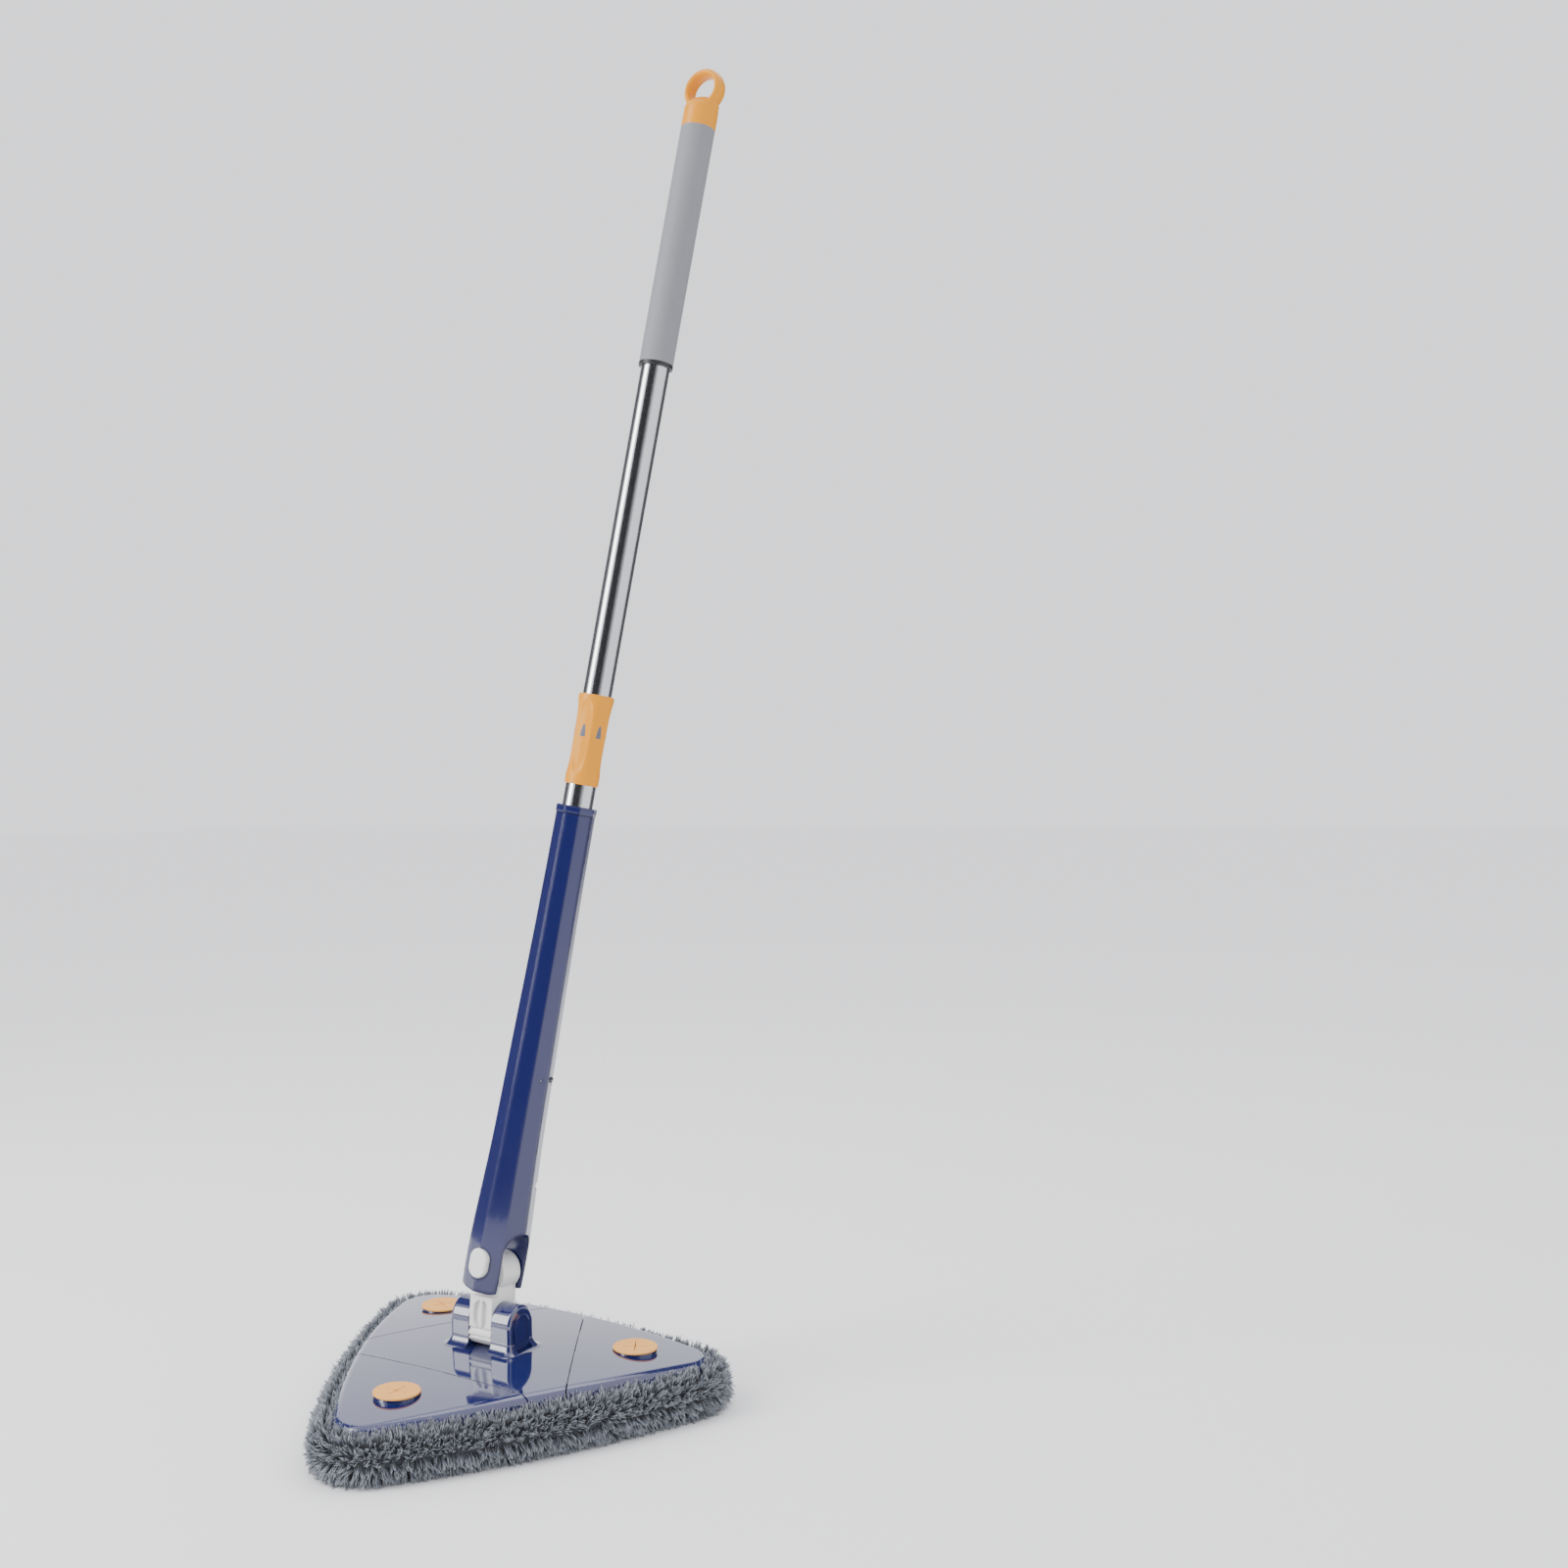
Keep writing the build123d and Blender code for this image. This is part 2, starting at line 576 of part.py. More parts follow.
# ---- The white link of the universal joint ----
with BuildPart() as joint_link:
    # Round below the ear pin, square above it
    with BuildSketch(link_side):
        Circle(LINK_FOOT)
        Rectangle(2 * LINK_DEPTH, 3 * LINK_FOOT, mode=Mode.INTERSECT)
        with Locations((0, LINK_SHOULDER / 2)):
            Rectangle(2 * LINK_DEPTH, LINK_SHOULDER)
    extrude(amount=LINK_HALF, both=True)
    # The tongue between the fork's sides
    with BuildSketch(link_front.offset(-TONGUE_FRONT)):
        with Locations((0, UPPER_PIN)):
            Circle(TONGUE_RADIUS)
        with Locations((0, UPPER_PIN / 2)):
            Rectangle(2 * LINK_HALF, UPPER_PIN)
    extrude(amount=TONGUE_FRONT - TONGUE_BACK)
    # Room for the bracket, which turns about the upper pin in front of the tongue
    with BuildSketch(link_front.offset(0.2 - TONGUE_FRONT)):
        with Locations((0, UPPER_PIN)):
            Circle(BRACKET_SWING)
    extrude(amount=20, mode=Mode.SUBTRACT)
    # A sunk oval with a rib down its middle, front and back
    for side in (1, -1):
        with BuildSketch(link_front.offset(side * LINK_DEPTH)):
            with Locations((0, OVAL_HEIGHT)):
                SlotOverall(*OVAL, rotation=90)
            Rectangle(OVAL_RIB, 60, mode=Mode.SUBTRACT)
        extrude(amount=-side * OVAL_DEPTH, mode=Mode.SUBTRACT)
    # A waist, and a groove that sets the foot off from the flange above it
    with BuildSketch(link_side):
        with Locations((LINK_DEPTH + 0.6, -6.5), (-LINK_DEPTH - 0.6, -6.5)):
            Circle(2)
        with Locations((LINK_DEPTH - 0.6, -12.2), (0.6 - LINK_DEPTH, -12.2)):
            Circle(1.3)
    extrude(amount=LINK_HALF, both=True, mode=Mode.SUBTRACT)
    with BuildSketch(link_side):
        Circle(PIN + RUNNING)
    extrude(amount=LINK_HALF, both=True, mode=Mode.SUBTRACT)
    with BuildSketch(link_front):
        with Locations((0, UPPER_PIN)):
            Circle(PIN + RUNNING)
    extrude(amount=LINK_DEPTH, both=True, mode=Mode.SUBTRACT)

save(joint_link, "joint_link")

# ---- Housing: an eight-sided sleeve with a fork at its lower end, split into a front and a back ----
with BuildPart() as inside:
    extrude(sleeve_side(22.5, HOUSING_WALL), amount=60, both=True)
    for turn in (67.5, 112.5, 157.5):
        extrude(sleeve_side(turn, HOUSING_WALL), amount=60, both=True, mode=Mode.INTERSECT)
    with BuildSketch(pole):
        Circle(40)
    extrude(amount=HOLLOW_FLOOR, mode=Mode.SUBTRACT)
    for height in RIB_HEIGHTS:
        with BuildSketch(pole.offset(height - 3.5)):
            with Locations((RIB_INNER + 10, 0), (-RIB_INNER - 10, 0)):
                Rectangle(20, 60)
        extrude(amount=7, mode=Mode.SUBTRACT)

with BuildPart() as housing:
    extrude(sleeve_side(22.5, 0), amount=60, both=True)
    for turn in (67.5, 112.5, 157.5):
        extrude(sleeve_side(turn, 0), amount=60, both=True, mode=Mode.INTERSECT)
    with BuildSketch(pole_front):
        with Locations((0, FORK_END + SLEEVE_LENGTH / 2)):
            RectangleRounded(2 * HOUSING_RADII[0][1], SLEEVE_LENGTH, FORK_CORNER)
    extrude(amount=60, both=True, mode=Mode.INTERSECT)
    add(inside.part, mode=Mode.SUBTRACT)
    # The fork's slot runs through from side to side under an arch
    with BuildSketch(pole_side):
        with Locations((0, FORK_TOP - FORK_HALF)):
            Circle(FORK_HALF)
        with Locations((0, (FORK_TOP - FORK_HALF) / 2)):
            Rectangle(2 * FORK_HALF, FORK_TOP - FORK_HALF)
    extrude(amount=60, both=True, mode=Mode.SUBTRACT)

with BuildPart() as housing_front:
    add(housing.part)
    split(bisect_by=pole_front, keep=Keep.TOP)
    # The button's window, and the pocket for its flange
    with BuildSketch(pole_front):
        with Locations((0, BUTTON_HEIGHT)):
            SlotOverall(BUTTON_LENGTH + BUTTON_PLAY, BUTTON_WIDTH + BUTTON_PLAY, rotation=90)
    extrude(amount=60, mode=Mode.SUBTRACT)
    with BuildSketch(pole_front):
        with Locations((0, BUTTON_HEIGHT)):
            SlotOverall(*flange_pocket, rotation=90)
    extrude(amount=FLANGE_FACE + 0.3, mode=Mode.SUBTRACT)
    with BuildSketch(pole_front):
        with Locations(*RIB_SCREWS):
            Circle(SCREW)
    extrude(amount=7, mode=Mode.SUBTRACT)

with BuildPart() as housing_back:
    add(housing.part)
    split(bisect_by=pole_front, keep=Keep.BOTTOM)
    with BuildSketch(pole_front):
        with Locations((0, UPPER_PIN)):
            Circle(PIN)
        with Locations(*RIB_SCREWS):
            Circle(SCREW)
    extrude(amount=-60, mode=Mode.SUBTRACT)
    with BuildSketch(pole_front.offset(-SCREW_SEAT)):
        with Locations(*RIB_SCREWS):
            Circle(SCREW_HEAD - 0.5)
    extrude(amount=-60, mode=Mode.SUBTRACT)
    with BuildSketch(pole_front.offset(-PIN_SEAT)):
        with Locations((0, UPPER_PIN)):
            Circle(PIN + 1.6)
    extrude(amount=-60, mode=Mode.SUBTRACT)

with BuildPart() as housing_screws:
    with BuildSketch(pole_front.offset(7)):
        with Locations(*RIB_SCREWS):
            Circle(SCREW)
    extrude(amount=-7 - SCREW_SEAT)
    with BuildSketch(pole_front.offset(-SCREW_SEAT)):
        with Locations(*RIB_SCREWS):
            Circle(SCREW_HEAD - 0.6)
    extrude(amount=-1.8)

# ---- Pieces held by the two shells ----
with BuildPart() as top_cap:
    with BuildSketch(pole.offset(HOUSING_RADII[-1][0])):
        RegularPolygon(radius=CAP_RADIUS, side_count=8)
        Circle(LOWER_RADIUS + RUNNING, mode=Mode.SUBTRACT)
    extrude(amount=CAP_TOP - HOUSING_RADII[-1][0])

with BuildPart() as tube_bearing:
    with BuildSketch(pole_front):
        band(LOWER_RADIUS + RUNNING, BEARING_RADIUS, *BEARING)
    revolve(axis=pole_axis)

with BuildPart() as joint_bracket:
    with BuildSketch(pole_side):
        with Locations((0, FORK_TOP - FORK_HALF)):
            Circle(FORK_HALF)
        with Locations((0, (FORK_TOP - FORK_HALF) / 2)):
            Rectangle(2 * FORK_HALF, FORK_TOP - FORK_HALF)
        with Locations((-FORK_HALF, 0)):
            Rectangle(2 * BRACKET_DEPTH, 400, mode=Mode.INTERSECT)
        with Locations((0, BRACKET_FOOT + 100)):
            Rectangle(60, 200, mode=Mode.INTERSECT)
    extrude(amount=BRACKET_HALF, both=True)
    # Pocket for the button's flange, well for its spring, and a blind hole for the pin
    with BuildSketch(pole_front.offset(FORK_HALF)):
        with Locations((0, BUTTON_HEIGHT)):
            SlotOverall(*flange_pocket, rotation=90)
    extrude(amount=-POCKET_DEPTH, mode=Mode.SUBTRACT)
    with BuildSketch(pole_front.offset(FORK_HALF)):
        with Locations((0, STEM_HEIGHT)):
            Circle(WELL_RADIUS)
    extrude(amount=-WELL_DEPTH, mode=Mode.SUBTRACT)
    with BuildSketch(pole_front):
        with Locations((0, UPPER_PIN)):
            Circle(PIN)
    extrude(amount=PIN_FRONT, mode=Mode.SUBTRACT)

with BuildPart() as upper_pin:
    with BuildSketch(pole_front.offset(PIN_FRONT)):
        with Locations((0, UPPER_PIN)):
            Circle(PIN)
    extrude(amount=-PIN_FRONT - PIN_SEAT)
    with BuildSketch(pole_front.offset(-PIN_SEAT)):
        with Locations((0, UPPER_PIN)):
            Circle(PIN + 1.5)
    extrude(amount=-2)

# ---- The white button, which travels into the housing against a spring ----
with BuildPart() as lock_button:
    with BuildSketch(pole_front.offset(FLANGE_FACE - FLANGE)):
        with Locations((0, BUTTON_HEIGHT)):
            SlotOverall(BUTTON_LENGTH, BUTTON_WIDTH, rotation=90)
    extrude(amount=BUTTON_FACE - FLANGE_FACE + FLANGE)
    fillet(lock_button.faces().sort_by(Axis(pole.origin, pole_front.z_dir))[-1].edges(), BUTTON_EDGE)
    with BuildSketch(pole_front.offset(FLANGE_FACE - FLANGE)):
        with Locations((0, BUTTON_HEIGHT)):
            SlotOverall(BUTTON_LENGTH + FLANGE_LENGTH, BUTTON_WIDTH + FLANGE_WIDTH, rotation=90)
    extrude(amount=FLANGE)
    with BuildSketch(pole_front.offset(FLANGE_FACE - FLANGE)):
        with Locations((0, STEM_HEIGHT)):
            Circle(STEM_RADIUS)
    extrude(amount=-STEM_LENGTH)

with BuildPart() as button_spring:
    spring_foot = pole_front.offset(FORK_HALF - WELL_DEPTH + SPRING_WIRE).from_local_coords((0, STEM_HEIGHT, 0))
    with BuildLine() as coil:
        Helix(SPRING_PITCH, SPRING_LENGTH, SPRING_RADIUS, center=spring_foot, direction=pole_front.z_dir)
    with BuildSketch(Plane(coil.line @ 0, z_dir=coil.line % 0)):
        Circle(SPRING_WIRE)
    sweep(path=coil.line)

for piece, name in ((housing_front, "housing_front"), (housing_back, "housing_back"), (top_cap, "top_cap"),
                    (housing_screws, "housing_screws"), (tube_bearing, "tube_bearing"),
                    (joint_bracket, "joint_bracket"), (upper_pin, "upper_pin"),
                    (lock_button, "lock_button"), (button_spring, "button_spring")):
    save(piece, name)

# ---- Lower tube with its plug and the clamp at its top ----
with BuildPart() as lower_tube:
    with BuildSketch(pole_front):
        band(LOWER_BORE, LOWER_RADIUS, *LOWER_TUBE)
    revolve(axis=pole_axis)

with BuildPart() as tube_plug:
    with BuildSketch(pole_front):
        band(0, LOWER_RADIUS, LOWER_TUBE[0] - 1.5, LOWER_TUBE[0])
        band(0, LOWER_BORE, LOWER_TUBE[0], LOWER_TUBE[0] + 18)
    revolve(axis=pole_axis)

with BuildPart() as collet:
    with BuildSketch(pole_front):
        band(UPPER_RADIUS + RUNNING, COLLET_RADIUS, LOWER_TUBE[1], COLLAR[1] - COLLAR_LIP - 1)
    revolve(axis=pole_axis)
    for turn in (0, 60, 120):
        with BuildSketch(pole.offset(LOWER_TUBE[1] + 8)):
            Rectangle(40, 1.2, rotation=turn)
        extrude(amount=40, mode=Mode.SUBTRACT)

with BuildPart() as twist_collar:
    with BuildSketch(pole_front):
        with BuildLine():
            Polyline((LOWER_RADIUS + RUNNING, COLLAR[0]), (COLLAR_RADII[0], COLLAR[0]), (COLLAR_RADII[1], COLLAR[1]),
                     (UPPER_RADIUS + 0.35, COLLAR[1]), (UPPER_RADIUS + 0.35, COLLAR[1] - COLLAR_LIP),
                     (COLLAR_BORE, COLLAR[1] - COLLAR_LIP), (COLLAR_BORE, LOWER_TUBE[1] - 1),
                     (LOWER_RADIUS + RUNNING, LOWER_TUBE[1] - 1), close=True)
        make_face()
    revolve(axis=pole_axis)

# ---- Upper tube with the grip and the hanging ring ----
with BuildPart() as upper_tube:
    with BuildSketch(pole_front):
        band(UPPER_BORE, UPPER_RADIUS, *UPPER_TUBE)
    revolve(axis=pole_axis)

with BuildPart() as guide_bush:
    with BuildSketch(pole_front):
        band(BUSH_BORE, UPPER_RADIUS, UPPER_TUBE[0] - 4, UPPER_TUBE[0])
        band(BUSH_BORE, UPPER_BORE, UPPER_TUBE[0], UPPER_TUBE[0] + 14)
    revolve(axis=pole_axis)

with BuildPart() as grip_end_ring:
    with BuildSketch(pole_front):
        band(UPPER_RADIUS, GRIP_RADIUS + 0.15, GRIP[0] - GRIP_BORDER, GRIP[0])
    revolve(axis=pole_axis)

with BuildPart() as grip_sleeve:
    with BuildSketch(pole_front):
        band(UPPER_RADIUS, GRIP_RADIUS, *GRIP)
    revolve(axis=pole_axis)

with BuildPart() as hanger_cap:
    with BuildSketch(pole_front):
        band(0, GRIP_RADIUS + 0.2, GRIP[1], CAP_SHOULDER)
        band(0, UPPER_BORE, GRIP[1] - CAP_SPIGOT, GRIP[1])
    revolve(axis=pole_axis)
    with BuildSketch(pole_front):
        with Locations((0, RING_HEIGHT)):
            Circle(RING_OUTER)
        with Locations((0, (CAP_SHOULDER + RING_HEIGHT) / 2 - 4)):
            Rectangle(2 * RING_OUTER - 9, RING_HEIGHT - CAP_SHOULDER - 8)
    extrude(amount=RING_HALF, both=True)
    with BuildSketch(pole_front):
        with Locations((0, RING_HEIGHT)):
            Circle(RING_HOLE)
    extrude(amount=RING_HALF, both=True, mode=Mode.SUBTRACT)

for piece, name in ((lower_tube, "lower_tube"), (tube_plug, "tube_plug"), (collet, "collet"),
                    (twist_collar, "twist_collar"), (upper_tube, "upper_tube"), (guide_bush, "guide_bush"),
                    (grip_end_ring, "grip_end_ring"), (grip_sleeve, "grip_sleeve"),
                    (hanger_cap, "hanger_cap")):
    save(piece, name)
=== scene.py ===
import math

import bpy
import numpy as np
from mathutils import Matrix, Vector


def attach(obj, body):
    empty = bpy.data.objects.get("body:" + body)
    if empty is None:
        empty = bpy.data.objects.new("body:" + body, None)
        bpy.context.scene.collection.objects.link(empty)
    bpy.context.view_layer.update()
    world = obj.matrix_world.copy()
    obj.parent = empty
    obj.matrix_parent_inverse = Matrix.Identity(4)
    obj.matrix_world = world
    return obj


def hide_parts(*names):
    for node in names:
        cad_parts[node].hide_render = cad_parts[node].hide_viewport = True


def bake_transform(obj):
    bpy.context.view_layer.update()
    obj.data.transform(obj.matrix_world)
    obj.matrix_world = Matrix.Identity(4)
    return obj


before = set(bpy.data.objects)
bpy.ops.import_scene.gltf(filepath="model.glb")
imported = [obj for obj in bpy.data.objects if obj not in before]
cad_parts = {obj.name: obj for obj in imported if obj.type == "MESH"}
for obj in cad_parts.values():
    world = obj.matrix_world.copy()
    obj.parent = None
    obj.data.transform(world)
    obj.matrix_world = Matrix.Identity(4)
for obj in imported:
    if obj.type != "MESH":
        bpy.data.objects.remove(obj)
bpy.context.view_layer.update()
bpy.ops.object.select_all(action="DESELECT")

# Studio: a level camera half a metre above the floor, a white floor and a white room, a broad soft
# light on the left and a weaker one above, and dark and grey cards outside the view that only the
# steel and the gloss mirror.
CAMERA_PLACE = (0.815, -1.031, 0.4996)
CAMERA_TURN = (90.03, 0.855, 34.07)     # level, rolled slightly, and turned towards the mop, in degrees
bpy.ops.object.camera_add(location=CAMERA_PLACE, rotation=[math.radians(turn) for turn in CAMERA_TURN])
camera = bpy.context.object
camera.data.sensor_width = 36
camera.data.lens = 36.96
camera.data.shift_x = 0.115
bpy.context.scene.camera = camera

world = bpy.data.worlds.new("studio")
bpy.context.scene.world = world
world.use_nodes = True
room = world.node_tree.nodes
room["Background"].inputs["Color"].default_value = (0.95, 0.96, 1.0, 1)
room["Background"].inputs["Strength"].default_value = 1.5

bpy.ops.mesh.primitive_plane_add(size=30)
floor = bpy.context.object
floor.name = "floor"
floor_paint = bpy.data.materials.new("floor_paint")
floor_paint.use_nodes = True
floor_shader = floor_paint.node_tree.nodes["Principled BSDF"]
floor_shader.inputs["Base Color"].default_value = (0.96, 0.96, 0.96, 1)
floor_shader.inputs["Roughness"].default_value = 0.9
floor.data.materials.append(floor_paint)


def soft_light(place, aim, size, watts):
    """A white panel of this width and height that faces the aim."""
    bpy.ops.object.light_add(type="AREA", location=place)
    light = bpy.context.object
    light.rotation_euler = (Vector(aim) - Vector(place)).to_track_quat("-Z", "Y").to_euler()
    light.data.shape = "RECTANGLE"
    light.data.size, light.data.size_y = size
    light.data.energy = watts


soft_light((-1.1, -1.5, 1.3), (0, 0, 0.4), (0.8, 2.2), 45)      # beside the camera, on its left
soft_light((0.4, 0.9, 2.4), (0, 0, 0.1), (1.6, 1.6), 14)        # above, from behind

CAMERA_SIDE = math.degrees(math.atan2(CAMERA_PLACE[1], CAMERA_PLACE[0]))
CARD_DISTANCE, CARD_TOP = 1.7, 2.6


def stand(name, first, last, shade, low=-0.4):
    """A card that only mirrors, between two turns round the mop from the camera's side, in degrees."""
    turns = [math.radians(CAMERA_SIDE + turn) for turn in (first, last)]
    left, right = [(CARD_DISTANCE * math.cos(turn), CARD_DISTANCE * math.sin(turn)) for turn in turns]
    mesh = bpy.data.meshes.new(name)
    corners = [(*left, low), (*right, low), (*right, CARD_TOP), (*left, CARD_TOP)]
    mesh.from_pydata(corners, [], [(0, 1, 2, 3)])
    card = bpy.data.objects.new(name, mesh)
    bpy.context.collection.objects.link(card)
    card.visible_camera = card.visible_shadow = card.visible_diffuse = False
    paint = bpy.data.materials.new(name + "_paint")
    paint.use_nodes = True
    shader = paint.node_tree.nodes["Principled BSDF"]
    shader.inputs["Base Color"].default_value = (shade, shade, shade * 1.04, 1)
    shader.inputs["Roughness"].default_value = 1
    shader.inputs["Specular IOR Level"].default_value = 0
    mesh.materials.append(paint)


stand("front_card", -47, 3, 0.03)
stand("front_card_grey", 3, 14, 0.10)
stand("front_card_pale", 14, 26, 0.30)
stand("back_left_card", -152, -99, 0.09, low=0.0)
stand("back_right_card", 92, 150, 0.07, low=0.0)


# The pad: one deep-pile microfibre pad under the head, cut and sewn as a bowed triangle. Its backing
# bulges past the plates, and twisted tufts stand out from it, up over the plates' lower edge and down
# to the floor. Four pieces meet under the seams.
CORNERS = {"front": -90, "right": 30, "left": 150}
CORNER_REACH, CORNER_RADIUS = 0.148, 0.0273
SIDE_RADIUS, BOW_CENTRE = 0.935, 0.8246
ROUND_END = (0.617, 0.787)              # from a corner's centre to where its round meets a side
BEND_START, BEND_END = 0.046, 0.091     # where the pad begins and ends its bend, from the middle


def head_radius(angle, margin):
    """From the middle of the head to its outline, drawn this far outside the plates' edge."""
    off = min(abs((angle - corner + 180) % 360 - 180) for corner in CORNERS.values())
    radius = CORNER_RADIUS + margin
    swing = math.radians(off)
    if swing < math.atan2(ROUND_END[1] * radius, CORNER_REACH + ROUND_END[0] * radius):
        half_chord = math.sqrt(radius**2 - (CORNER_REACH * math.sin(swing)) ** 2)
        return CORNER_REACH * math.cos(swing) + half_chord
    swing = math.radians(60 - off)
    half_chord = math.sqrt((SIDE_RADIUS + margin) ** 2 - (BOW_CENTRE * math.sin(swing)) ** 2)
    return half_chord - BOW_CENTRE * math.cos(swing)


def direction(angle):
    """The level direction at this turn from x, in degrees."""
    return Vector((math.cos(math.radians(angle)), math.sin(math.radians(angle)), 0))


# The backing's section from its upper hem to the sole: how far outside the plates' edge, and height
BACKING = ((-0.012, 0.0274), (0.0012, 0.0280), (0.0048, 0.0300), (0.0085, 0.0275), (0.0108, 0.0220),
           (0.0115, 0.0155), (0.0105, 0.0095), (0.0075, 0.0050), (0.002, 0.0030), (-0.012, 0.0026))
STEPS = 288                             # points round each loop
INNER_SHARES = (0.02, 0.3, 0.6, 0.85)   # the loops inside the hem, as shares of it


def ring(margin, height, share=1.0):
    """One level loop of the pad's backing."""
    points = []
    for step in range(STEPS):
        angle = 360 * step / STEPS
        reach = share * head_radius(angle, margin)
        points.append((reach * math.cos(math.radians(angle)), reach * math.sin(math.radians(angle)), height))
    return points


loops = [ring(*BACKING[0], share) for share in INNER_SHARES]
loops += [ring(*point) for point in BACKING]
loops += [ring(*BACKING[-1], share) for share in reversed(INNER_SHARES)]
points = [point for loop in loops for point in loop]
faces = [tuple(range(STEPS))]
for row in range(len(loops) - 1):
    for step in range(STEPS):
        after = (step + 1) % STEPS
        here, below = row * STEPS, (row + 1) * STEPS
        faces.append((here + after, here + step, below + step, below + after))
faces.append(tuple((len(loops) - 1) * STEPS + step for step in reversed(range(STEPS))))
backing = bpy.data.meshes.new("backing")
backing.from_pydata(points, [], faces)

# Where each tuft is rooted: evenly over the sides, and more thinly on the sole
TUFTS_PER_SIDE, TUFTS_PER_SOLE = 150000, 30000      # a square metre
SOLE_TOP = 0.0031
draw = np.random.default_rng(12)
corners = np.array(points)
sides = [f for f in faces[1:-1] if len(INNER_SHARES) * STEPS <= f[0] < (len(loops) - 1) * STEPS]
quads = corners[np.array(sides)]
across = np.cross(quads[:, 2] - quads[:, 0], quads[:, 3] - quads[:, 1])
area = np.linalg.norm(across, axis=1) / 2
outwards = across / (2 * area[:, None])
on_sole = quads[:, :, 2].max(1) < SOLE_TOP
expected = area * np.where(on_sole, TUFTS_PER_SOLE, TUFTS_PER_SIDE)
counts = np.floor(expected + draw.random(len(expected))).astype(int)
face = np.repeat(np.arange(len(sides)), counts)
u, v = draw.random((2, len(face), 1))
root = ((1 - u) * (1 - v) * quads[face, 0] + u * (1 - v) * quads[face, 1]
        + u * v * quads[face, 2] + (1 - u) * v * quads[face, 3])
normal = outwards[face]
sole = on_sole[face]

# Each tuft is a bunch of strands that leave the backing apart and come together at their tips. Those
# above the parting comb up over the plates' edge, those below it comb down.
STRANDS = 5
PARTING, COMBED_UP, COMBED_DOWN, STRAY = 0.0165, 0.34, -0.42, 0.24
SOLE_LENGTHS, SIDE_LENGTHS, UNEVEN = (0.0020, 0.0028), (0.0080, 0.0112), (0.78, 1.05)
BUNCH, SUNK, GATHER = 0.0011, 0.0006, 0.55          # width at the foot, depth there, share at the tips
TIP_STRAY, BELLY_STRAY, BULGE = 0.0006, 0.0005, 0.16
lean = draw.normal(0, STRAY, (len(face), 3))
lean[:, 2] += np.where(root[:, 2] > PARTING, COMBED_UP, COMBED_DOWN) * (~sole)
heading = normal + lean
heading /= np.linalg.norm(heading, axis=1, keepdims=True)
length = np.where(sole, draw.uniform(*SOLE_LENGTHS, len(face)), draw.uniform(*SIDE_LENGTHS, len(face)))
shade = draw.random(len(face))
spread = draw.normal(0, BUNCH, (len(face), STRANDS, 3))
foot = root[:, None] + spread - SUNK * normal[:, None]
strand_length = length[:, None] * draw.uniform(*UNEVEN, (len(face), STRANDS))
end = (root[:, None] + heading[:, None] * strand_length[..., None]
       + GATHER * spread + draw.normal(0, TIP_STRAY, spread.shape))
belly = ((foot + end) / 2 + BULGE * length[:, None, None] * normal[:, None]
         + draw.normal(0, BELLY_STRAY, spread.shape))
foot, belly, end = (line.reshape(-1, 3) for line in (foot, belly, end))
shade = np.repeat(shade, STRANDS)
home = np.repeat(root, STRANDS, axis=0)

# A strand is a curved three-sided needle: how far up each of its rings is, and the ring's radius
RINGS = ((0.0, 0.00050), (0.45, 0.00046), (0.8, 0.00030))
NEEDLE_POINTS = 3 * len(RINGS) + 1
FLOOR_GAP = 0.0002
SLANT = (0.31, 0.17, 0.94)      # a direction that no strand follows
towards = end - foot
towards /= np.linalg.norm(towards, axis=1, keepdims=True)
aside = np.cross(towards, SLANT)
aside /= np.linalg.norm(aside, axis=1, keepdims=True)
upward = np.cross(towards, aside)
shape = []
for part, radius in RINGS:
    centre = (1 - part) ** 2 * foot + 2 * part * (1 - part) * belly + part**2 * end
    for k in range(3):
        turn = 2 * math.pi * k / 3
        shape.append(centre + radius * (math.cos(turn) * aside + math.sin(turn) * upward))
shape.append(end)
strand_points = np.stack(shape, axis=1)
strand_points[..., 2] = np.maximum(strand_points[..., 2], FLOOR_GAP)
heights = np.array([part for part, _ in RINGS for _ in range(3)] + [1.0])
strand_faces = [(2, 1, 0)]
for low in (0, 3):
    strand_faces += [(low + k, low + (k + 1) % 3, low + 3 + (k + 1) % 3, low + 3 + k) for k in range(3)]
strand_faces += [(6 + k, 6 + (k + 1) % 3, 9) for k in range(3)]


def pile(name, chosen):
    """The chosen strands as one mesh, with how far up its strand each point is, and each tuft's shade."""
    picked = strand_points[chosen]
    mesh = bpy.data.meshes.new(name)
    sides = [tuple(NEEDLE_POINTS * i + k for k in f) for i in range(len(picked)) for f in strand_faces]
    mesh.from_pydata(picked.reshape(-1, 3).tolist(), [], sides)
    for attribute, values in (("strand_height", np.tile(heights, len(picked))),
                              ("tuft_shade", np.repeat(shade[chosen], NEEDLE_POINTS))):
        layer = mesh.attributes.new(attribute, "FLOAT", "POINT")
        layer.data.foreach_set("value", values.astype(np.float32))
    mesh.shade_smooth()
    obj = bpy.data.objects.new(name, mesh)
    bpy.context.collection.objects.link(obj)
    return obj


def value_node(nodes, kind, **settings):
    """A new shader node with these sockets or properties set."""
    node = nodes.new(kind)
    for key, value in settings.items():
        if key in node.inputs:
            node.inputs[key].default_value = value
        else:
            setattr(node, key, value)
    return node
